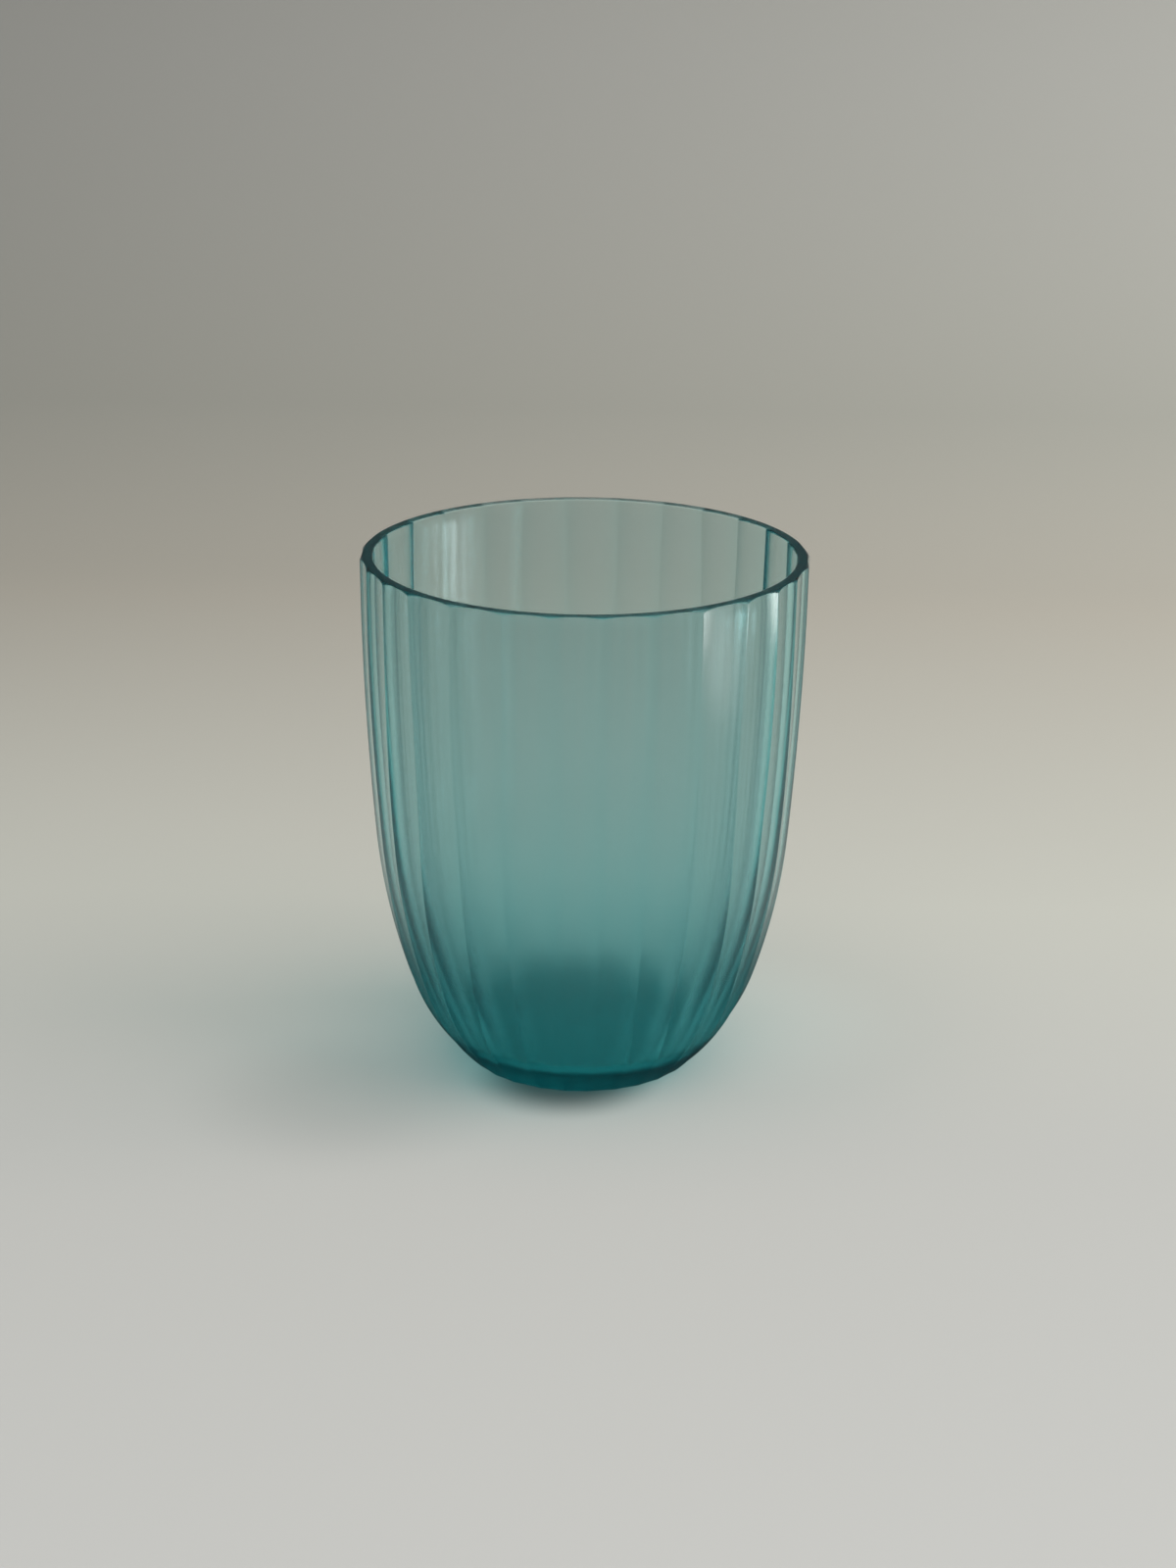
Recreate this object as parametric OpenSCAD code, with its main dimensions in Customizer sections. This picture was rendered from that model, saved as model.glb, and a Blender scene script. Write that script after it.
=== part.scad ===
// Juice glass: a tumbler made from one piece of tinted glass, cut all round with flat panels.
// Sizes are in millimetres. The glass stands on the plane z = 0 with its axis on Z.

/* [Body] */
// Height from the table to the top of the rim
height = 91; // [84:1:98]
// Diameter at the rim, measured across two opposite panels
rim_diameter = 76; // [72:1:82]
// Number of flat panels cut round the outside, always even
panel_count = 28; // [20:2:36]

/* [Outer curve] */
// Lean of the wall at the rim, in degrees from upright
rim_lean = 0.25; // [0:0.05:0.6]
// Height where the nearly straight side starts to turn in
shoulder_z = 42.5; // [38:0.5:46]
// Lean of the wall at that height
shoulder_lean = 5; // [4.4:0.1:5.8]
// Height where the side turns into the bottom curve
bowl_z = 16.5; // [14:0.5:19]
// Lean of the wall at the top of the bottom curve
bowl_lean = 18.5; // [17:0.5:21]
// Lean of the wall where it comes down to the foot
foot_lean = 47.5; // [43:0.5:51]
// Radius of the softened edge round the foot
heel_round = 0.8; // [0.4:0.1:1.2]

/* [Cavity] */
// Wall thickness at the rim, measured at the middle of a panel
rim_wall = 2.05; // [1.9:0.05:2.4]
// Lean of the inside at the rim
cavity_rim_lean = 0.6; // [0.4:0.05:0.8]
// Height where the inside starts to turn in
cavity_shoulder_z = 44; // [40:0.5:48]
// Lean of the inside at that height
cavity_shoulder_lean = 6; // [5.6:0.1:6.5]
// Height where the inside turns into its rounded bottom
cavity_bowl_z = 8; // [7.5:0.5:9]
// Lean of the inside at the top of its rounded bottom
cavity_bowl_lean = 34; // [32:0.5:36]
// Thickness of glass from the table plane to the inside floor
base_thickness = 5.3; // [4.5:0.1:6]

/* [Rim] */
// Radius that rounds the outer edge of the rim and scallops the panels
rim_round = 1; // [0.8:0.1:1.3]
// Reach of that round past the ridges, so each ridge meets it at an angle
rim_reach = 0.06; // [0.04:0.01:0.1]
// Radius that softens the inner edge of the rim
lip_round = 0.35; // [0.2:0.05:0.5]

/* [Foot] */
// Rise of the hollow under the foot at its middle
hollow_rise = 0.3; // [0.2:0.05:0.5]
// Width of the flat ring that stands on the table
standing_ring = 4; // [3:0.1:6]

/* [Hidden] */
// Number of sides drawn on every round shape
$fn = 180;
// Overlap that lets one shape pass clean through another
over = 1;
// Straight steps that stand for each arc of an outline, from the rim down
upper_steps = 4;
middle_steps = 6;
lower_steps = 9;
heel_steps = 3;
glass = [0.27, 0.55, 0.54, 0.7];
rim_r = rim_diameter / 2;
ridge_r = rim_r / cos(180 / panel_count);
round_r = ridge_r + rim_reach;

// Outer arcs from the rim down, each starting at the lean where the one above it ends
upper_arc = arc_radius(height - shoulder_z, rim_lean, shoulder_lean);
shoulder_r = rim_r - arc_inset(upper_arc, rim_lean, shoulder_lean);
middle_arc = arc_radius(shoulder_z - bowl_z, shoulder_lean, bowl_lean);
bowl_r = shoulder_r - arc_inset(middle_arc, shoulder_lean, bowl_lean);
heel_z = heel_round * (1 - sin(foot_lean));
lower_arc = arc_radius(bowl_z - heel_z, bowl_lean, foot_lean);
heel_r = bowl_r - arc_inset(lower_arc, bowl_lean, foot_lean);
foot_r = heel_r - heel_round * cos(foot_lean);

// Inside arcs from the rim down to the floor
inner_r = rim_r - rim_wall;
inner_upper_arc = arc_radius(height - cavity_shoulder_z, cavity_rim_lean, cavity_shoulder_lean);
inner_shoulder_r = inner_r - arc_inset(inner_upper_arc, cavity_rim_lean, cavity_shoulder_lean);
inner_middle_arc = arc_radius(cavity_shoulder_z - cavity_bowl_z, cavity_shoulder_lean, cavity_bowl_lean);
inner_bowl_r = inner_shoulder_r - arc_inset(inner_middle_arc, cavity_shoulder_lean, cavity_bowl_lean);
inner_lower_arc = arc_radius(cavity_bowl_z - base_thickness, cavity_bowl_lean, 90);

// Hollow under the foot, a shallow part of a sphere
hollow_r = foot_r - standing_ring;
hollow_arc = (hollow_r * hollow_r + hollow_rise * hollow_rise) / (2 * hollow_rise);

// Radius of the arc that turns from one lean to the next over a drop in height
function arc_radius(drop, top_lean, low_lean) = drop / (sin(low_lean) - sin(top_lean));

// Distance such an arc comes in towards the axis
function arc_inset(arc, top_lean, low_lean) = arc * (cos(top_lean) - cos(low_lean));

// Points down an arc, leaving out the first
function arc_points(top_r, top_z, top_lean, low_lean, arc, steps) = [
  for (i = [1 : steps])
    let (lean = top_lean + (low_lean - top_lean) * i / steps)
      [top_r - arc_inset(arc, top_lean, lean), top_z - arc * (sin(lean) - sin(top_lean))]
];

// Outline of one panel seen edge on, carried past the top of the rim
function panel_side() = concat(
  [[rim_r, height + over], [rim_r, height]],
  arc_points(rim_r, height, rim_lean, shoulder_lean, upper_arc, upper_steps),
  arc_points(shoulder_r, shoulder_z, shoulder_lean, bowl_lean, middle_arc, middle_steps),
  arc_points(bowl_r, bowl_z, bowl_lean, foot_lean, lower_arc, lower_steps),
  arc_points(heel_r, heel_z, foot_lean, 90, heel_round, heel_steps)
);

// The same outline mirrored and in reverse order
function mirrored(side) = [for (i = [len(side) - 1 : -1 : 0]) [-side[i].x, side[i].y]];

// Two opposite panels as one slab
module panel_pair() {
  side = panel_side();
  rotate([90, 0, 0]) linear_extrude(height = 2 * rim_diameter, center = true) polygon(concat(side, mirrored(side)));
}

// Every panel: the slabs turned about the axis and kept where they all meet
module panels() {
  intersection_for(turn = [0 : panel_count / 2 - 1]) rotate([0, 0, turn * 360 / panel_count]) panel_pair();
}

// Round outside with its rounded edge at the rim
module rim_section() {
  square([round_r - rim_round, height]);
  square([round_r, height - rim_round]);
  translate([round_r - rim_round, height - rim_round]) circle(rim_round);
}

// Space for the drink, carried past the top of the rim
module cavity_section() {
  polygon(concat(
    [[0, height + over], [inner_r, height + over], [inner_r, height]],
    arc_points(inner_r, height, cavity_rim_lean, cavity_shoulder_lean, inner_upper_arc, upper_steps),
    arc_points(inner_shoulder_r, cavity_shoulder_z, cavity_shoulder_lean, cavity_bowl_lean, inner_middle_arc,
      middle_steps),
    arc_points(inner_bowl_r, cavity_bowl_z, cavity_bowl_lean, 90, inner_lower_arc, lower_steps),
    [[0, base_thickness]]
  ));
}

// Softened inner edge of the rim
module lip_section() {
  translate([inner_r - lip_round, height - lip_round]) difference() {
    square([2 * lip_round, lip_round + over]);
    translate([2 * lip_round, 0]) circle(lip_round);
  }
}

// Half section of the round work: outside, cavity, lip and the hollow under the foot
module round_section() {
  difference() {
    rim_section();
    cavity_section();
    lip_section();
    translate([0, hollow_rise - hollow_arc]) circle(hollow_arc);
  }
}

// The whole glass: the round work kept inside the panels
module tumbler() {
  color(glass) intersection() {
    panels();
    rotate_extrude() round_section();
  }
}

tumbler();
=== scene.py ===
# %% [markdown]
# A panelled juice glass.
# The real glass is one piece: a gather of teal glass is pressed to a tumbler, and then flat panels are cut into
# the outside all the way round, so that it has many faces outside and stays smooth and round inside.
# This lesson loads the CAD model as a fixed frame, models that one piece again with softer and more lifelike
# surfaces, gives it a glass with real depth of colour, and sets it on a plain studio sweep.

# %% Load the frame
import math

import bmesh
import bpy
from mathutils import Matrix, Vector


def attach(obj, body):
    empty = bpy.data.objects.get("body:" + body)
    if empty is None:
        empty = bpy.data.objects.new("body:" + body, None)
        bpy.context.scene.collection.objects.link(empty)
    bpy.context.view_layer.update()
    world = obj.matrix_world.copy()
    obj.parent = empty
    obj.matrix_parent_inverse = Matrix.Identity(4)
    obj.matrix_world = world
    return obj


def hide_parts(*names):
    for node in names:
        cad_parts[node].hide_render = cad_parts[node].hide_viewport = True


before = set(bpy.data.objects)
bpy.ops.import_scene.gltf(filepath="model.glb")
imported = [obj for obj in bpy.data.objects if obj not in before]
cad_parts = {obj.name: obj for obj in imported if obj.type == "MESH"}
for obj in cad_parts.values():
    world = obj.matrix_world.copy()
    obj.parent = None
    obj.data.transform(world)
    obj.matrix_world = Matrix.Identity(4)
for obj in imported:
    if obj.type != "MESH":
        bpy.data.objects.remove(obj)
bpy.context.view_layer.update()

# %% [markdown]
# The outline of a turned or pressed glass is easiest to draw as half a section and then turn about its axis.
# Every curve of this section is an arc that starts at the lean where the last one ended, so no crease shows.
# A lean is the angle of the wall from upright. One vertex is spun about the centre of each arc, which leaves a
# chain of edges behind it: that is what bmesh.ops.spin does to a single vertex. The alternative, a curve object,
# would have to be turned into a mesh afterwards, and its points would not be named rows that can be cut later.

# %% Sizes of the glass, in metres
MM = 0.001
HEIGHT = 91.0 * MM
RIM_RADIUS = 38.0 * MM
RIM_WALL = 2.05 * MM
RIM_ROUND = 0.75 * MM
RIM_REACH = 0.06 * MM
LIP_ROUND = 0.35 * MM
SHOULDER_Z, SHOULDER_LEAN = 42.5 * MM, 5.0
BOWL_Z, BOWL_LEAN = 16.5 * MM, 18.5
RIM_LEAN, FOOT_LEAN = 0.25, 47.5
HEEL_ROUND = 0.8 * MM
INNER_SHOULDER_Z, INNER_SHOULDER_LEAN = 44.0 * MM, 6.0
INNER_BOWL_Z, INNER_BOWL_LEAN = 8.0 * MM, 34.0
INNER_RIM_LEAN = 0.6
FLOOR_Z = 5.3 * MM
HOLLOW_RISE = 0.3 * MM
STANDING_RING = 4.0 * MM
PANELS = 28
PANEL_TURN = math.tau / PANELS
RIDGE_RADIUS = RIM_RADIUS / math.cos(PANEL_TURN / 2)
print("ridge radius in mm:", round(RIDGE_RADIUS / MM, 3))


# %% Helpers that draw the section
def arc_radius(drop, top_lean, low_lean):
    """Radius of the arc that turns from one lean to the next over a drop in height."""
    return drop / (math.sin(math.radians(low_lean)) - math.sin(math.radians(top_lean)))


def arc_inset(arc, top_lean, low_lean):
    """Distance such an arc comes in towards the axis."""
    return arc * (math.cos(math.radians(top_lean)) - math.cos(math.radians(low_lean)))


class Section:
    """A chain of edges in the XZ plane, drawn with one moving vertex whose rows are numbered and named."""

    def __init__(self, x, z):
        self.bm = bmesh.new()
        self.row = self.bm.verts.layers.int.new("row")
        self.tip = self.bm.verts.new((x, 0.0, z))
        self.rows = 0
        self.names = {}
        self.mark("start")

    def mark(self, name):
        """Give the row at the moving end a name."""
        self.tip[self.row] = self.rows
        self.names[name] = self.rows

    def arc(self, centre_x, centre_z, degrees, steps):
        """Spin the end about a centre: a positive turn goes down on the outside."""
        for _ in range(steps):
            made = bmesh.ops.spin(
                self.bm, geom=[self.tip], cent=(centre_x, 0.0, centre_z), axis=(0.0, 1.0, 0.0),
                angle=math.radians(degrees) / steps, steps=1)
            self.step(made["geom_last"])

    def lean_arc(self, arc, lean, degrees, steps):
        """Follow a wall arc from the lean that the wall has here."""
        at = self.tip.co
        turn = math.radians(lean)
        self.arc(at.x - arc * math.cos(turn), at.z + arc * math.sin(turn), degrees, steps)

    def straight(self, x, z, steps):
        """Extrude the end to a point in equal steps."""
        move = (Vector((x, 0.0, z)) - self.tip.co) / steps
        for _ in range(steps):
            made = bmesh.ops.extrude_vert_indiv(self.bm, verts=[self.tip])
            bmesh.ops.translate(self.bm, verts=made["verts"], vec=move)
            self.step(made["verts"])

    def step(self, made):
        """Move on to the vertex that was made last and number its row."""
        self.tip = next(v for v in made if isinstance(v, bmesh.types.BMVert))
        self.rows += 1
        self.tip[self.row] = self.rows


# %% [markdown]
# The arcs need their radii before they can be drawn. They follow from the heights and leans above, from the rim
# down, and the foot comes out where the last arc lands. The hollow under the foot is a shallow part of a sphere:
# a glass stands on a ring and not on a disc, because a flat disc of glass rocks and sticks to a wet table.

# %% Radii that follow from the sizes
upper_arc = arc_radius(HEIGHT - SHOULDER_Z, RIM_LEAN, SHOULDER_LEAN)
shoulder_r = RIM_RADIUS - arc_inset(upper_arc, RIM_LEAN, SHOULDER_LEAN)
middle_arc = arc_radius(SHOULDER_Z - BOWL_Z, SHOULDER_LEAN, BOWL_LEAN)
bowl_r = shoulder_r - arc_inset(middle_arc, SHOULDER_LEAN, BOWL_LEAN)
heel_z = HEEL_ROUND * (1 - math.sin(math.radians(FOOT_LEAN)))
lower_arc = arc_radius(BOWL_Z - heel_z, BOWL_LEAN, FOOT_LEAN)
heel_r = bowl_r - arc_inset(lower_arc, BOWL_LEAN, FOOT_LEAN)
foot_r = heel_r - HEEL_ROUND * math.cos(math.radians(FOOT_LEAN))
hollow_r = foot_r - STANDING_RING
hollow_arc = (hollow_r ** 2 + HOLLOW_RISE ** 2) / (2 * HOLLOW_RISE)
inner_r = RIM_RADIUS - RIM_WALL
inner_upper_arc = arc_radius(HEIGHT - INNER_SHOULDER_Z, INNER_RIM_LEAN, INNER_SHOULDER_LEAN)
inner_middle_arc = arc_radius(INNER_SHOULDER_Z - INNER_BOWL_Z, INNER_SHOULDER_LEAN, INNER_BOWL_LEAN)
inner_lower_arc = arc_radius(INNER_BOWL_Z - FLOOR_Z, INNER_BOWL_LEAN, 90.0)
round_r = RIDGE_RADIUS + RIM_REACH
print("foot radius in mm:", round(foot_r / MM, 2), "inner rim radius:", round(inner_r / MM, 2))

# %% Draw the section from the middle of the underside, up the outside, over the rim and down the inside
RIM_STEPS = 10
section = Section(0.0, HOLLOW_RISE)
section.arc(0.0, HOLLOW_RISE - hollow_arc, math.degrees(math.asin(hollow_r / hollow_arc)), 10)
section.mark("hollow_edge")
section.straight(foot_r, 0.0, 4)
section.mark("foot")
section.arc(foot_r, HEEL_ROUND, FOOT_LEAN - 90.0, 6)
section.lean_arc(lower_arc, FOOT_LEAN, BOWL_LEAN - FOOT_LEAN, 16)
section.lean_arc(middle_arc, BOWL_LEAN, SHOULDER_LEAN - BOWL_LEAN, 14)
section.lean_arc(upper_arc, SHOULDER_LEAN, RIM_LEAN - SHOULDER_LEAN, 18)
section.mark("wall_top")
section.straight(round_r - RIM_ROUND, HEIGHT, RIM_STEPS)
section.mark("rim_flat")
section.straight(inner_r + LIP_ROUND, HEIGHT, 3)
section.arc(inner_r + LIP_ROUND, HEIGHT - LIP_ROUND, -90.0, 6)
section.mark("lip")
lip_lean = math.degrees(math.asin(math.sin(math.radians(INNER_RIM_LEAN)) + LIP_ROUND / inner_upper_arc))
section.lean_arc(inner_upper_arc, lip_lean, INNER_SHOULDER_LEAN - lip_lean, 18)
section.lean_arc(inner_middle_arc, INNER_SHOULDER_LEAN, INNER_BOWL_LEAN - INNER_SHOULDER_LEAN, 14)
section.lean_arc(inner_lower_arc, INNER_BOWL_LEAN, 90.0 - INNER_BOWL_LEAN, 16)
section.straight(0.0, section.tip.co.z, 6)
rows = section.names
print("section rows:", section.rows + 1, rows, "floor at", round(section.tip.co.z / MM, 2), "mm")

# %% [markdown]
# A full spin about the upright axis turns the section into a round glass. use_merge closes the seam where the
# last copy meets the first, and merging doubles closes the two points on the axis. Ten columns of faces for each
# panel are enough, because they are bunched towards the ridges afterwards, where the surface turns.

# %% Turn the section into a round glass
COLUMNS = 10
STEPS = PANELS * COLUMNS
bm = section.bm
bmesh.ops.spin(
    bm, geom=bm.verts[:] + bm.edges[:], cent=(0.0, 0.0, 0.0), axis=(0.0, 0.0, 1.0),
    angle=math.tau, steps=STEPS, use_merge=True)
bmesh.ops.remove_doubles(bm, verts=bm.verts, dist=0.001 * MM)
print("round glass:", len(bm.verts), "vertices", len(bm.faces), "faces")

# %% [markdown]
# The cutter's wheel takes away everything outside a plane that follows the curve of the side. The wheel is round,
# so each panel is dished by a hair across its width, and that hair is what bends the light at the ridges. A cutter
# works by eye, so no two panels lie at quite the same depth or angle, and each wanders a little on its way down:
# that is why the ridges of the real glass waver. Slow sine waves stand for the hand here, since they give the same
# glass on every run. Each row of vertices is moved out or in to the nearest cut plane, and the columns are bunched
# so that one of them lies exactly on every ridge.

# %% Where the cut panels lie
DEPTH_WANDER = 0.04 * MM
TURN_WANDER = math.radians(2.2)
WHEEL_RADIUS = 37.0 * MM
# Share, turn per panel and start of each wave of the hand
HAND_WAVES = ((0.6, 1.11, 4.99), (0.4, 0.71, 4.34))
# Length of the sway down a panel, and how far its start moves on from one panel to the next
SWAY_LENGTH, SWAY_STEP = 70.0 * MM, 2.2


def hand(panel):
    """How far the cutter strays from an even spacing at one panel, between -1 and 1."""
    return sum(share * math.sin(pace * panel + start) for share, pace, start in HAND_WAVES)


def cut_plane(panel, radius, z):
    """Direction and distance of one panel's plane at a height."""
    number = panel % PANELS
    sway = math.sin(math.tau * z / SWAY_LENGTH + SWAY_STEP * number)
    return panel * PANEL_TURN + TURN_WANDER * hand(number), radius + DEPTH_WANDER * sway


def ridge_turn(panel, radius, z):
    """Where the plane of a panel meets the plane of the next one."""
    a, p = cut_plane(panel, radius, z)
    b, q = cut_plane(panel + 1, radius, z)
    return math.atan2(q * math.cos(a) - p * math.cos(b), p * math.sin(b) - q * math.sin(a))


def cut_ring(radius, z):
    """Direction and distance of every column round one row of the outside."""
    ring = []
    half_width = radius * math.tan(PANEL_TURN / 2)
    dish = half_width ** 2 / (2 * WHEEL_RADIUS)
    for panel in range(PANELS):
        turn, depth = cut_plane(panel, radius, z)
        low = ridge_turn(panel - 1, radius, z)
        span = (ridge_turn(panel, radius, z) - low) % math.tau
        for column in range(COLUMNS):
            share = 0.5 - 0.5 * math.cos(math.pi * column / COLUMNS)
            at = low + span * share
            ring.append((at, (depth - dish + dish * (2 * share - 1) ** 2) / math.cos(at - turn)))
    return ring


flat_rims = cut_ring(RIM_RADIUS, HEIGHT)
ridges = [math.degrees(ridge_turn(panel, RIM_RADIUS, HEIGHT)) % 360 for panel in range(PANELS)]
widths = [(ridges[panel] - ridges[panel - 1]) % 360 for panel in range(PANELS)]
print("panels are", round(min(widths), 1), "to", round(max(widths), 1), "degrees wide")

# %% [markdown]
# The rim is ground last, with a small bevel round its outer edge. The bevel is round about the axis and the panels
# are not, so the bevel reaches further down at the ridges than in the middle of a panel: that draws the row of
# scallops under the rim. Two rows just below the bevel stay close to it, which keeps its lower edge crisp.

# %% Cut the panels and bevel the rim
# Power that draws the bevel between a round (1) and a straight chamfer (2)
RIM_BEVEL = 1.15
# Least share of the bevel's width that is kept at a panel's middle
BEVEL_LEAST = 0.02
# Drop of the two rows below the bevel
LEDGE_FAR, LEDGE_NEAR = 0.5 * MM, 0.12 * MM


def rim_curve(tilt):
    """Radius and height on the bevel of the rim, from its lower edge (0) to the top (a quarter turn)."""
    return (round_r - RIM_ROUND + RIM_ROUND * max(0.0, math.cos(tilt)) ** RIM_BEVEL,
            HEIGHT - RIM_ROUND + RIM_ROUND * math.sin(tilt) ** RIM_BEVEL)


rings = {}
row_layer = bm.verts.layers.int["row"]
wall_ledge = {rows["wall_top"] - 2: LEDGE_FAR, rows["wall_top"] - 1: LEDGE_NEAR, rows["wall_top"]: 0.0}
for v in bm.verts:
    row = v[row_layer]
    if not rows["hollow_edge"] < row <= rows["rim_flat"]:
        continue
    radius, turn = math.hypot(v.co.x, v.co.y), math.atan2(v.co.y, v.co.x)
    column = (round(turn / math.tau * STEPS) + COLUMNS // 2) % STEPS
    share = 1.0
    if row < rows["foot"]:
        share = (row - rows["hollow_edge"]) / (rows["foot"] - rows["hollow_edge"])
    if row not in rings:
        rings[row] = cut_ring(radius, v.co.z)
    at, depth = rings[row][column]
    if row in wall_ledge or row > rows["wall_top"]:
        at, depth = flat_rims[column]
        reach = (depth - round_r + RIM_ROUND) / RIM_ROUND
        tilt = math.acos(max(BEVEL_LEAST, min(1.0, reach)) ** (1 / RIM_BEVEL))
        tilt += (math.pi / 2 - tilt) * max(0, row - rows["wall_top"]) / RIM_STEPS
        depth, v.co.z = rim_curve(tilt)
        v.co.z -= wall_ledge.get(row, 0.0)
    around = (at - turn + math.pi) % math.tau - math.pi
    at = turn + around * share
    depth = radius + (depth - radius) * share
    v.co.x, v.co.y = depth * math.cos(at), depth * math.sin(at)
print("panels cut:", PANELS, "rows cut:", len(rings))

# %% [markdown]
# The mesh is closed now, so its normals can be turned outward and it can take the place of the CAD piece, which is
# hidden. It rides on the frame's root body and is known as the tumbler glass.



# %% Close the piece and give it to the frame
def mesh_object(name, bm):
    """Make a finished bmesh an object of the scene."""
    mesh = bpy.data.meshes.new(name)
    bm.to_mesh(mesh)
    bm.free()
    made = bpy.data.objects.new(name, mesh)
    bpy.context.scene.collection.objects.link(made)
    return made


bmesh.ops.recalc_face_normals(bm, faces=bm.faces)
for face in bm.faces:
    face.smooth = True
open_edges = sum(1 for e in bm.edges if len(e.link_faces) != 2)
tumbler = mesh_object("tumbler_glass", bm)
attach(tumbler, "root")
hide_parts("tumbler")
print("tumbler:", len(tumbler.data.polygons), "faces,", open_edges, "open edges, size in mm:",
      [round(d / MM, 2) for d in tumbler.dimensions])

# %% [markdown]
# The materials below are built from a few small sums, so some helpers come first: one for a sum of numbers, one for
# a soft ramp between two values, one that mixes two colours, and one that tells where a point lies. Each takes plain
# numbers or the outputs of other nodes, which keeps every recipe readable from top to bottom.


# %% Helpers that build materials
def give(node, socket, value):
    """Set a socket to a number, or link it to the output of another node."""
    if isinstance(value, bpy.types.NodeSocket):
        node.id_data.links.new(value, socket)
    else:
        socket.default_value = value


def math_node(nodes, operation, *values):
    """A sum of one, two or three numbers."""
    node = nodes.new("ShaderNodeMath")
    node.operation = operation
    for socket, value in zip(node.inputs, values):
        give(node, socket, value)
    return node.outputs["Value"]


def ramp_node(nodes, value, low, high, out_low=0.0, out_high=1.0):
    """A soft step from one number to another between two values."""
    node = nodes.new("ShaderNodeMapRange")
    node.interpolation_type = "SMOOTHSTEP"
    for name, number in zip(("From Min", "From Max", "To Min", "To Max"), (low, high, out_low, out_high)):
        node.inputs[name].default_value = number
    give(node, node.inputs["Value"], value)
    return node.outputs["Result"]


def mix_colour(nodes, factor, a, b, blend="MIX"):
    """Two colours mixed or multiplied by a share."""
    node = nodes.new("ShaderNodeMix")
    node.data_type = "RGBA"
    node.blend_type = blend
    for name, value in (("Factor", factor), ("A", a), ("B", b)):
        give(node, next(i for i in node.inputs if i.name == name and i.enabled), value)
    return next(o for o in node.outputs if o.enabled)


def place_node(nodes):
    """The point that is shaded, in the object's own metres: as one vector, and split into X, Y and Z."""
    place = nodes.new("ShaderNodeTexCoord").outputs["Object"]
    split = nodes.new("ShaderNodeSeparateXYZ")
    give(split, split.inputs["Vector"], place)
    return place, split.outputs


print("helpers ready:", [h.__name__ for h in (give, math_node, ramp_node, mix_colour, place_node)])

# %% [markdown]
# Tinted glass is coloured all through, so thin walls look pale and the thick foot looks dark. A coloured surface
# can't do that. The surface here is nearly clear, and the volume inside takes away red light faster than green and
# blue for every millimetre that a ray travels. A small even loss at the surface stands for the haze of an old,
# much washed glass.

# %% Tinted glass: its colour in depth
# Loss per metre of glass, and the density that the three losses are shares of
ABSORB_RED, ABSORB_GREEN, ABSORB_BLUE, ABSORB_TOTAL = 135.0, 20.0, 16.0, 140.0
SURFACE_TINT = (0.83, 0.835, 0.84, 1.0)
GLASS_IOR = 1.5
glass = bpy.data.materials.new("teal_glass")
glass.use_nodes = True
nodes, links = glass.node_tree.nodes, glass.node_tree.links
surface, output = nodes["Principled BSDF"], nodes["Material Output"]
surface.inputs["Base Color"].default_value = SURFACE_TINT
surface.inputs["IOR"].default_value = GLASS_IOR
surface.inputs["Transmission Weight"].default_value = 1.0
body = nodes.new("ShaderNodeVolumeAbsorption")
body.inputs["Density"].default_value = ABSORB_TOTAL
body.inputs["Color"].default_value = (
    1 - ABSORB_RED / ABSORB_TOTAL, 1 - ABSORB_GREEN / ABSORB_TOTAL, 1 - ABSORB_BLUE / ABSORB_TOTAL, 1.0)
links.new(body.outputs["Volume"], output.inputs["Volume"])
kept = [round(math.exp(-loss * 2 * RIM_WALL), 2) for loss in (ABSORB_RED, ABSORB_GREEN, ABSORB_BLUE)]
print("share of red, green and blue left after two walls:", kept)

# %% [markdown]
# Glass isn't polished alike all over. Fire polish leaves slow, faint waves, which a noise makes here for both the
# roughness and a bump that is far too shallow to model. The mould leaves a duller skin round the bottom, so the
# thick foot looks soft. The top of the rim is ground level and shows as a narrow matt line.

# %% Tinted glass: its polish
WAVES_PER_METRE, WAVE_DETAIL = 70.0, 3.0
POLISH_BEST, POLISH_WORST = 0.09, 0.13
SKIN_LOW, SKIN_HIGH, SKIN_DULL = 24.0 * MM, 52.0 * MM, 0.12
GROUND_LOW, GROUND_HIGH, GROUND_DULL = HEIGHT - 0.10 * MM, HEIGHT - 0.02 * MM, 0.4
RIPPLE_STRENGTH, RIPPLE_DEPTH = 0.3, 0.2 * MM
place, axis = place_node(nodes)
waves = nodes.new("ShaderNodeTexNoise")
waves.inputs["Scale"].default_value = WAVES_PER_METRE
waves.inputs["Detail"].default_value = WAVE_DETAIL
links.new(place, waves.inputs["Vector"])
polish = ramp_node(nodes, waves.outputs["Fac"], 0.0, 1.0, POLISH_BEST, POLISH_WORST)
skin = ramp_node(nodes, axis["Z"], SKIN_LOW, SKIN_HIGH, SKIN_DULL, 0.0)
ground = ramp_node(nodes, axis["Z"], GROUND_LOW, GROUND_HIGH, 0.0, GROUND_DULL)
links.new(math_node(nodes, "ADD", math_node(nodes, "ADD", polish, skin), ground), surface.inputs["Roughness"])
ripple = nodes.new("ShaderNodeBump")
ripple.inputs["Strength"].default_value = RIPPLE_STRENGTH
ripple.inputs["Distance"].default_value = RIPPLE_DEPTH
links.new(waves.outputs["Fac"], ripple.inputs["Height"])
links.new(ripple.outputs["Normal"], surface.inputs["Normal"])
print("glass nodes:", len(nodes))
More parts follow.
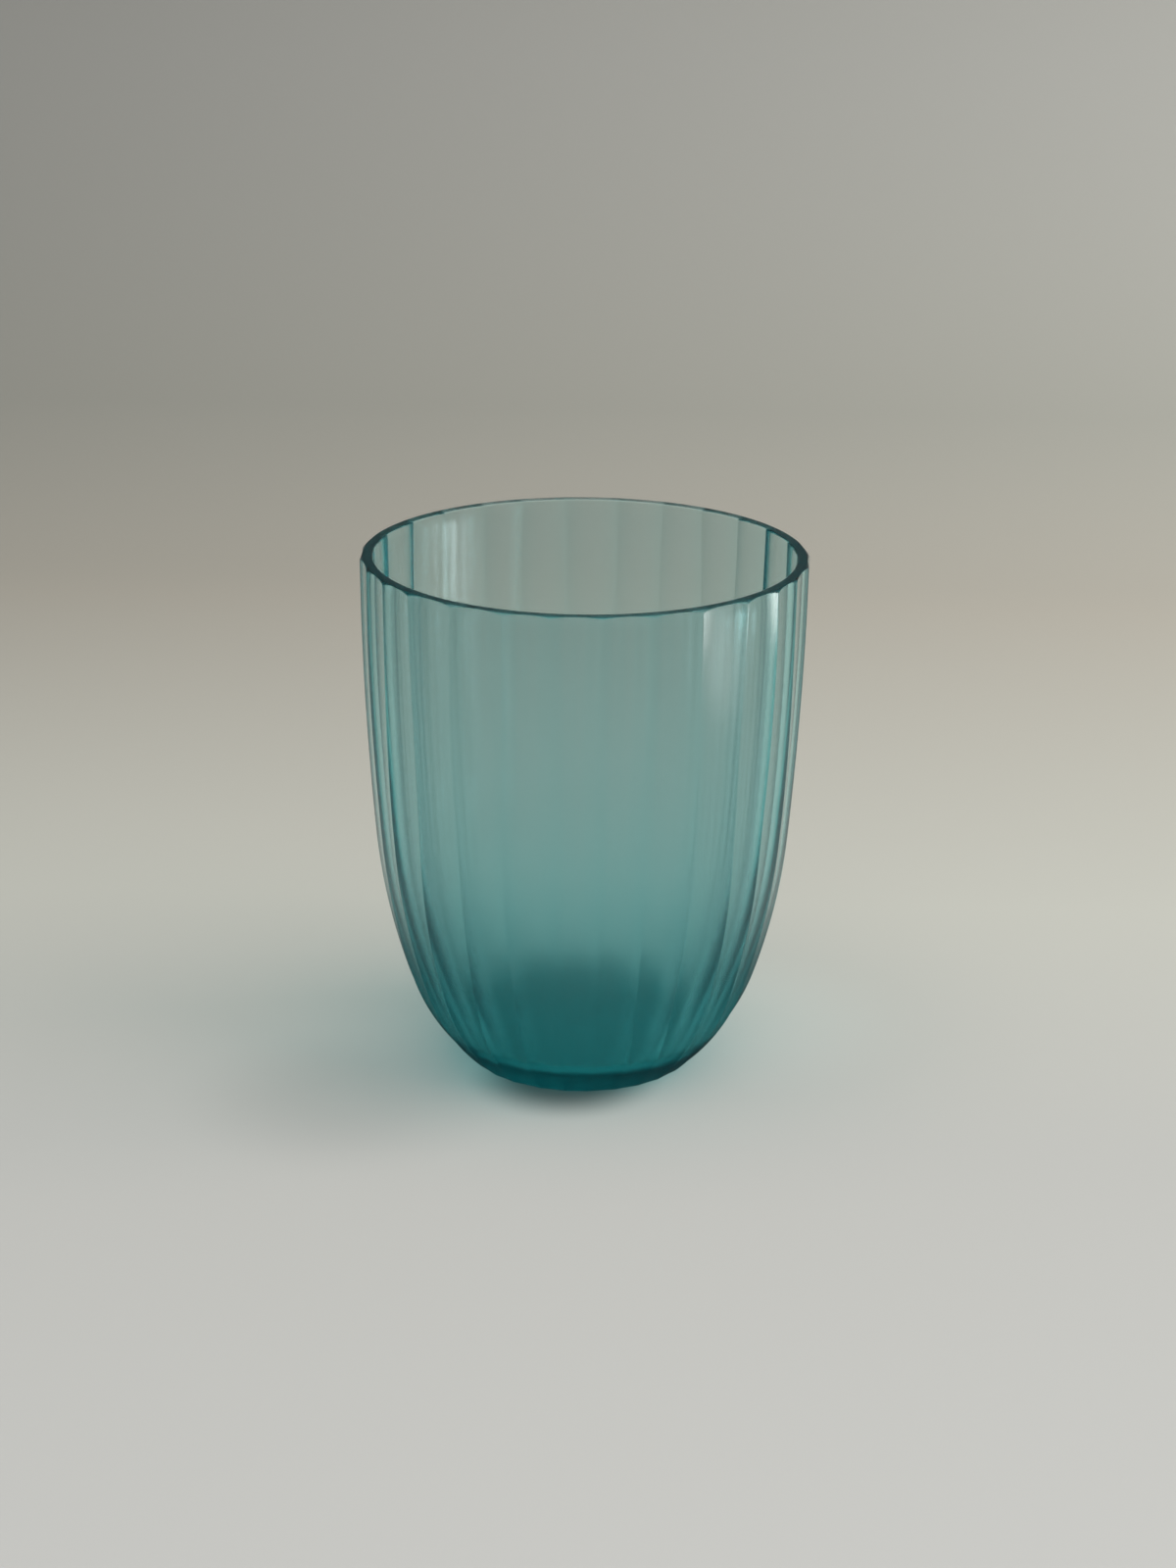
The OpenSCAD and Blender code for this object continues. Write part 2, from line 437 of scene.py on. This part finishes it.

# %% [markdown]
# A straight line from the floor to a lamp never finds its way through a refracting wall, so a glass surface alone
# throws a black shadow, and the real shadow is pale. For those lines, and for light that the floor scatters, the
# surface is a thin clear filter instead. The volume still tints what comes through.

# %% Tinted glass: clear for lamps and for scattered light
# The filter's tint takes a little green and blue from the light through the glass, which makes the glass's shadow
# greyer than the volume alone would.
FILTER_TINT = (1.0, 0.86, 0.86, 1.0)
ray = nodes.new("ShaderNodeLightPath")
clear = nodes.new("ShaderNodeBsdfTransparent")
clear.inputs["Color"].default_value = FILTER_TINT
for_floor = nodes.new("ShaderNodeMixShader")
for_lamps = nodes.new("ShaderNodeMixShader")
links.new(ray.outputs["Is Diffuse Ray"], for_floor.inputs["Fac"])
links.new(surface.outputs["BSDF"], for_floor.inputs[1])
links.new(clear.outputs["BSDF"], for_floor.inputs[2])
links.new(ray.outputs["Is Shadow Ray"], for_lamps.inputs["Fac"])
links.new(for_floor.outputs["Shader"], for_lamps.inputs[1])
links.new(clear.outputs["BSDF"], for_lamps.inputs[2])
links.new(for_lamps.outputs["Shader"], output.inputs["Surface"])
tumbler.data.materials.append(glass)
print("tumbler material:", tumbler.data.materials[0].name)

# %% [markdown]
# The sweep is a floor that turns up into a wall with no line between them. One edge is extruded along the floor,
# spun up through a quarter turn, and extruded again.

# %% Floor and backdrop in one sweep
SWEEP_HALF, SWEEP_FRONT, SWEEP_BACK, SWEEP_TURN, SWEEP_TOP = 6.0, -6.0, 0.30, 0.22, 1.8
SWEEP_STEPS = 24
# The floor lies a hair below the foot, so that the two surfaces don't share a plane
SWEEP_DROP = 0.05 * MM


def extrude_edge(bm, edges, move):
    """Extrude edges along a move and give back the edges at the far end."""
    made = bmesh.ops.extrude_edge_only(bm, edges=edges)["geom"]
    verts = [g for g in made if isinstance(g, bmesh.types.BMVert)]
    bmesh.ops.translate(bm, verts=verts, vec=move)
    return [g for g in made if isinstance(g, bmesh.types.BMEdge)]


bm = bmesh.new()
ends = [bm.verts.new((x, SWEEP_FRONT, -SWEEP_DROP)) for x in (-SWEEP_HALF, SWEEP_HALF)]
floor_end = extrude_edge(bm, [bm.edges.new(ends)], (0.0, SWEEP_BACK - SWEEP_FRONT, 0.0))
turned = bmesh.ops.spin(
    bm, geom=floor_end, cent=(0.0, SWEEP_BACK, SWEEP_TURN - SWEEP_DROP), axis=(1.0, 0.0, 0.0),
    angle=math.pi / 2, steps=SWEEP_STEPS)
wall_foot = [g for g in turned["geom_last"] if isinstance(g, bmesh.types.BMEdge)]
extrude_edge(bm, wall_foot, (0.0, 0.0, SWEEP_TOP - SWEEP_TURN))
bmesh.ops.recalc_face_normals(bm, faces=bm.faces)
if sum(face.normal.z * face.calc_area() for face in bm.faces) < 0:
    bmesh.ops.reverse_faces(bm, faces=bm.faces)
for face in bm.faces:
    face.smooth = True
sweep = mesh_object("sweep", bm)
print("sweep:", len(sweep.data.polygons), "faces")

# %% [markdown]
# A plain paper sweep is one colour, but the light falls off towards the back and is stronger towards the window, so
# the paper looks pale in front, warmer and darker as it goes back, and a little brighter towards the window. That
# fall of light and the window's light are painted into the paper's colour along the way from the floor up the wall,
# as painted shade and painted light, so that the lamps can stay at a plain level that suits the glass.

# %% Sweep colour: painted shade from front to back and painted light from side to side
# Place along the sweep, from 0 to 1, and colour there, with the painted fall-off of light in it
SWEEP_TONES = (
    (0.03, (0.522, 0.522, 0.500, 1.0)),
    (0.20, (0.497, 0.497, 0.470, 1.0)),
    (0.34, (0.522, 0.522, 0.468, 1.0)),
    (0.60, (0.415, 0.392, 0.338, 1.0)),
    (0.775, (0.314, 0.311, 0.275, 1.0)),
    (1.0, (0.335, 0.333, 0.309, 1.0)))
# Share of the sweep that a metre covers, and the share where the glass stands
TONES_PER_METRE, TONE_AT_GLASS = 1.25, 0.25
# How fast the painted window light raises the tone towards the window, in front and at the wall, and its lowest and
# highest level
SIDE_FRONT, SIDE_WALL, SIDE_LEAST, SIDE_MOST = 0.1, 1.1, 0.8, 1.25
SIDE_FRONT_AT, SIDE_WALL_AT = -0.10, 0.55
paper = bpy.data.materials.new("pale_sweep")
paper.use_nodes = True
nodes, links = paper.node_tree.nodes, paper.node_tree.links
surface = nodes["Principled BSDF"]
surface.inputs["Roughness"].default_value = 0.9
surface.inputs["Specular IOR Level"].default_value = 0.1
axis = place_node(nodes)[1]
along = math_node(nodes, "ADD", axis["Y"], axis["Z"])
tones = nodes.new("ShaderNodeValToRGB")
stops = tones.color_ramp.elements
for number, (stop, colour) in enumerate(SWEEP_TONES):
    tone = stops[number] if number < 2 else stops.new(stop)
    tone.position, tone.color = stop, colour
links.new(math_node(nodes, "MULTIPLY_ADD", along, TONES_PER_METRE, TONE_AT_GLASS), tones.inputs["Fac"])
slope = ramp_node(nodes, along, SIDE_FRONT_AT, SIDE_WALL_AT, SIDE_FRONT, SIDE_WALL)
# Painted window light: the paper's tone rises towards the window on the right.
side = math_node(nodes, "POWER", math.e, math_node(nodes, "MULTIPLY", axis["X"], slope))
level = math_node(nodes, "MINIMUM", math_node(nodes, "MAXIMUM", side, SIDE_LEAST), SIDE_MOST)
print("sweep tones:", len(stops))

# %% [markdown]
# What the glass shows of the floor isn't quite what the camera sees of it, so shade is painted into the floor's
# colour near the glass. A table close to a glass is dark in its mirror image, since the glass itself shades it: that
# is painted shade for mirrored rays. The strip under the heel is darkest, a painted contact shadow for the camera;
# and light reaches the floor under the foot only through the thick base, so it is painted teal there for rays
# through the glass. The upper wall is painted darker for every ray but the camera's. Rays that the camera sends
# straight, rays that are mirrored and rays that come through the glass are told apart, and each gets its own painted
# shade near the glass. Light that the glass throws past itself brightens the window's side of the floor, and the tip
# of the shadow is a little darker than the lamps alone make it: both are painted light and shade for the camera.
# From behind and from below, the sweep would hide the glass, so its back is clear to the camera.


# %% Sweep colour: painted shade and light close to the glass
def apart(x, y):
    """Distance along the floor from a point."""
    across = math_node(nodes, "POWER", math_node(nodes, "SUBTRACT", axis["X"], x), 2.0)
    away = math_node(nodes, "POWER", math_node(nodes, "SUBTRACT", axis["Y"], y), 2.0)
    return math_node(nodes, "SQRT", math_node(nodes, "ADD", across, away))


def round_shade(x, y, inner, outer, amount):
    """An amount of shade that is whole near a point and fades out round it."""
    return ramp_node(nodes, apart(x, y), inner, outer, amount, 0.0)


def shade(level, share, amount):
    """Take a share of an amount of light away from a level."""
    loss = math_node(nodes, "MULTIPLY", share, amount)
    return math_node(nodes, "MULTIPLY", level, math_node(nodes, "SUBTRACT", 1.0, loss))


# Where each painted shade begins and ends, in metres, and the share of the light that it takes or, below zero, adds
# as painted light
WALL_LOW, WALL_HIGH, WALL_SHADE = 0.10, 0.20, 0.6
NEAR_IN, NEAR_OUT, NEAR_SHADE = 0.030, 0.10, 0.9
# Painted teal shade on the floor under the foot, seen only through the glass
FOOT_IN, FOOT_OUT, PAINTED_FOOT_SHADE = 0.020, 0.028, (0.42, 0.84, 0.84, 1.0)
# Middle, inner and outer radius and share of each round painted shade on the floor: a painted contact shadow under
# the heel, painted light on the window's side, and a painted darker tip of the shadow
CONTACT = (-0.002, -0.0145, 0.006, 0.018, 0.7)
WINDOW_SIDE = (0.026, 0.014, 0.008, 0.038, -0.10)
SHADOW_TIP = (-0.040, -0.025, 0.005, 0.033, 0.12)
ray = nodes.new("ShaderNodeLightPath")
seen, through = ray.outputs["Is Camera Ray"], ray.outputs["Is Transmission Ray"]
unseen = math_node(nodes, "SUBTRACT", 1.0, seen)
outside = math_node(nodes, "SUBTRACT", 1.0, through)
mirrored = math_node(nodes, "MULTIPLY", ray.outputs["Is Glossy Ray"], outside)
from_axis = apart(0.0, 0.0)
# Painted shade: the upper wall darker for all but camera rays, the floor darker near the glass in its mirror image,
# and the round painted shades for the camera.
upper_wall = ramp_node(nodes, axis["Z"], WALL_LOW, WALL_HIGH, 0.0, WALL_SHADE)
near_glass = ramp_node(nodes, from_axis, NEAR_IN, NEAR_OUT, NEAR_SHADE, 0.0)
level = shade(shade(shade(level, unseen, upper_wall), seen, round_shade(*CONTACT)), mirrored, near_glass)
level = shade(shade(level, seen, round_shade(*WINDOW_SIDE)), seen, round_shade(*SHADOW_TIP))
# Painted teal shade under the foot, for rays that come through the glass.
under_foot = math_node(nodes, "MULTIPLY", through, ramp_node(nodes, from_axis, FOOT_IN, FOOT_OUT, 1.0, 0.0))
colour = mix_colour(nodes, under_foot, tones.outputs["Color"], PAINTED_FOOT_SHADE, "MULTIPLY")
links.new(mix_colour(nodes, 1.0, colour, level, "MULTIPLY"), surface.inputs["Base Color"])
behind = math_node(nodes, "MULTIPLY", seen, nodes.new("ShaderNodeNewGeometry").outputs["Backfacing"])
front_only = nodes.new("ShaderNodeMixShader")
links.new(behind, front_only.inputs["Fac"])
links.new(surface.outputs["BSDF"], front_only.inputs[1])
links.new(nodes.new("ShaderNodeBsdfTransparent").outputs["BSDF"], front_only.inputs[2])
links.new(front_only.outputs["Shader"], nodes["Material Output"].inputs["Surface"])
sweep.data.materials.append(paper)
print("sweep nodes:", len(nodes))

# %% [markdown]
# The bright bars in the back wall and the soft patch on the right are mirror images of something pale that lies
# on the table to the right, outside the picture. A flat card with two soft patches of glow stands for it. It adds
# its glow to a clear surface, and only paths that were mirrored at least once see it: the floor under it stays as
# it is, and the card shows neither directly nor straight through the glass.

# %% Bright card on the table, out of the picture
CARD_X, CARD_Y, CARD_Z = 0.31, -0.035, 0.0008
CARD_LENGTH, CARD_WIDTH = 0.30, 0.22
# Middle, half length, half width and strength of each patch
FAR_PATCH = (0.35, -0.010, 0.10, 0.055, 6.5)
NEAR_PATCH = (0.265, -0.075, 0.09, 0.06, 1.0)
# Share of a patch that has its full strength
PATCH_CORE = 0.3
bm = bmesh.new()
bmesh.ops.create_grid(bm, x_segments=1, y_segments=1, size=0.5)
bmesh.ops.scale(bm, verts=bm.verts, vec=(CARD_LENGTH, CARD_WIDTH, 1.0))
bmesh.ops.translate(bm, verts=bm.verts, vec=(CARD_X, CARD_Y, CARD_Z))
card = mesh_object("bright_card", bm)
glow = bpy.data.materials.new("bright_card")
glow.use_nodes = True
nodes, links = glow.node_tree.nodes, glow.node_tree.links
nodes.remove(nodes["Principled BSDF"])
axis = place_node(nodes)[1]


def patch(x, y, half_x, half_y, power):
    """A patch of light that fades out from its middle."""
    across = math_node(nodes, "DIVIDE", math_node(nodes, "SUBTRACT", axis["X"], x), half_x)
    away = math_node(nodes, "DIVIDE", math_node(nodes, "SUBTRACT", axis["Y"], y), half_y)
    squares = math_node(nodes, "ADD", math_node(nodes, "POWER", across, 2.0), math_node(nodes, "POWER", away, 2.0))
    return ramp_node(nodes, math_node(nodes, "SQRT", squares), PATCH_CORE, 1.0, power, 0.0)


patches = math_node(nodes, "ADD", patch(*FAR_PATCH), patch(*NEAR_PATCH))
ray = nodes.new("ShaderNodeLightPath")
mirrored = math_node(nodes, "GREATER_THAN", ray.outputs["Glossy Depth"], 0.5)
lit = nodes.new("ShaderNodeEmission")
links.new(math_node(nodes, "MULTIPLY", patches, mirrored), lit.inputs["Strength"])
both = nodes.new("ShaderNodeAddShader")
links.new(lit.outputs["Emission"], both.inputs[0])
links.new(nodes.new("ShaderNodeBsdfTransparent").outputs["BSDF"], both.inputs[1])
links.new(both.outputs["Shader"], nodes["Material Output"].inputs["Surface"])
glow.cycles.emission_sampling = "NONE"
card.data.materials.append(glow)
print("card: size in mm", [round(d / MM) for d in card.dimensions])

# %% [markdown]
# A large soft window on the right lays the pale shadow to the left of the glass, a soft light overhead keeps the
# floor even, and the room itself fills the rest from all sides. Together they light a white floor to about a plain
# white. The two lamps aren't mirrored in the glass, because no lamp shows in the real one: what it mirrors is the
# room, which is dim, and the room seen through glass, which is brighter.


# %% Lights
def soft_light(name, place, aim, width, height, power):
    """A soft rectangular studio light that looks at a point and isn't mirrored in the glass."""
    data = bpy.data.lights.new(name, "AREA")
    data.shape = "RECTANGLE"
    data.size, data.size_y, data.energy = width, height, power
    light = bpy.data.objects.new(name, data)
    bpy.context.scene.collection.objects.link(light)
    light.location = place
    light.rotation_euler = (Vector(aim) - Vector(place)).to_track_quat("-Z", "Y").to_euler()
    light.visible_glossy = light.visible_transmission = False


# The room as the floor, the camera, a ray through glass and any other ray see it
ROOM_FOR_FLOOR = (0.52, 0.52, 0.52, 1.0)
ROOM_FOR_CAMERA = (0.33, 0.33, 0.31, 1.0)
ROOM_THROUGH_GLASS = (0.25, 0.25, 0.24, 1.0)
ROOM_ELSEWHERE = (0.05, 0.05, 0.05, 1.0)
soft_light("window_right", (1.5, -0.1, 1.1), (0.0, 0.0, 0.04), 2.0, 1.6, 28.5)
soft_light("overhead", (0.0, -0.3, 1.8), (0.0, -0.1, 0.0), 1.8, 1.8, 17.0)
world = bpy.data.worlds.new("room")
bpy.context.scene.world = world
world.use_nodes = True
nodes, links = world.node_tree.nodes, world.node_tree.links
ray = nodes.new("ShaderNodeLightPath")
room = mix_colour(nodes, ray.outputs["Is Diffuse Ray"], ROOM_ELSEWHERE, ROOM_FOR_FLOOR)
room = mix_colour(nodes, ray.outputs["Is Transmission Ray"], room, ROOM_THROUGH_GLASS)
room = mix_colour(nodes, ray.outputs["Is Camera Ray"], room, ROOM_FOR_CAMERA)
links.new(room, nodes["Background"].inputs["Color"])

# %% [markdown]
# The camera stands where the photograph was taken: half a metre away, looking down by some nineteen degrees, with a
# long lens that keeps the sides of the glass nearly upright. Its place was fitted to the oval of the rim, the
# outline of the sides and the foot. The small turn about the axis brings the ridges of the front into place.

# %% Camera
FOCAL_PIXELS, FRAME_WIDTH = 3560.0, 1200.0
PITCH, ROLL, TURN = math.radians(19.37), math.radians(0.58), math.radians(2.0)
CAMERA_STAND = (0.0009, -0.5716, 0.2505)
camera_data = bpy.data.cameras.new("camera")
camera_data.sensor_fit = "HORIZONTAL"
camera_data.sensor_width = 36.0
camera_data.lens = FOCAL_PIXELS / FRAME_WIDTH * camera_data.sensor_width
camera_data.clip_start = 0.01
camera = bpy.data.objects.new("camera", camera_data)
bpy.context.scene.collection.objects.link(camera)
stand = Matrix.Translation(CAMERA_STAND)
tilt = Matrix.Rotation(math.pi / 2 - PITCH, 4, "X") @ Matrix.Rotation(ROLL, 4, "Z")
camera.matrix_world = Matrix.Rotation(TURN, 4, "Z") @ stand @ tilt
bpy.context.scene.camera = camera
bpy.context.scene.view_settings.view_transform = "Standard"
print("camera lens in mm:", round(camera_data.lens, 1),
      "at", [round(c, 3) for c in camera.matrix_world.translation])

# %% [markdown]
# Light that is caught in the rim or the foot goes round inside the glass many times before it comes out, and a
# short path would leave those parts black, so the paths may be long.

# %% Let light paths be long and finish
LONGEST_PATH = 40
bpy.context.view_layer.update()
paths = bpy.context.scene.cycles
paths.max_bounces = paths.glossy_bounces = paths.transmission_bounces = LONGEST_PATH
